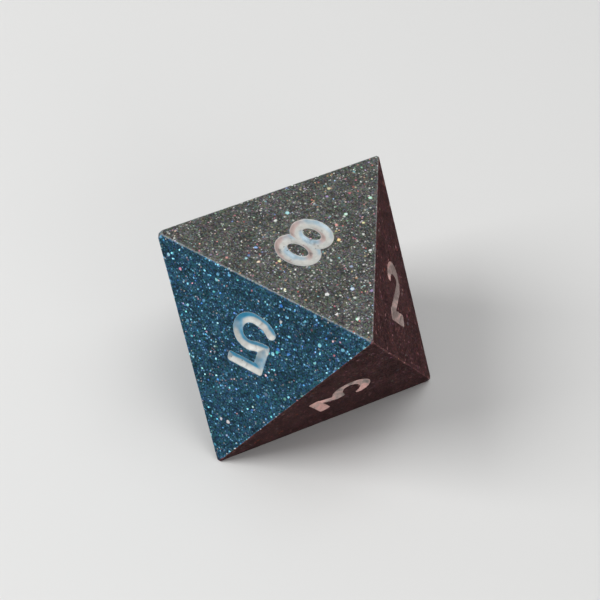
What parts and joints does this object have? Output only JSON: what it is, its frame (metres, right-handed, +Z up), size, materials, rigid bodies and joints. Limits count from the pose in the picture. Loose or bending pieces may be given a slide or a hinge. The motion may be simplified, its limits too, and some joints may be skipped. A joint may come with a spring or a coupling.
{
  "type": "eight-sided polyhedral die",
  "caption": "Octahedral gaming die in glitter resin with engraved, paint-filled numerals; it rests on any face and is read on the one opposite.",
  "frame": {"origin": "centre of the face that the die rests on, which carries the numeral 1", "axes": "+Z up through the top face, which carries the 8; +Y towards the point that the top of the 8 points to; +X to the right of it"},
  "size_m": [0.0182, 0.021, 0.015],
  "materials": {
    "glitter_resin": "cast resin full of fine holographic glitter, satin, dark grey with cool and warm glints",
    "numeral_paint": "off-white paint wiped into the engraving, matt"
  },
  "bodies": {
    "root": {"die_body": "glitter_resin", "numeral_1_inlay": "numeral_paint", "numeral_2_inlay": "numeral_paint", "numeral_3_inlay": "numeral_paint", "numeral_4_inlay": "numeral_paint", "numeral_5_inlay": "numeral_paint", "numeral_6_inlay": "numeral_paint", "numeral_7_inlay": "numeral_paint", "numeral_8_inlay": "numeral_paint"}
  },
  "joints": []
}
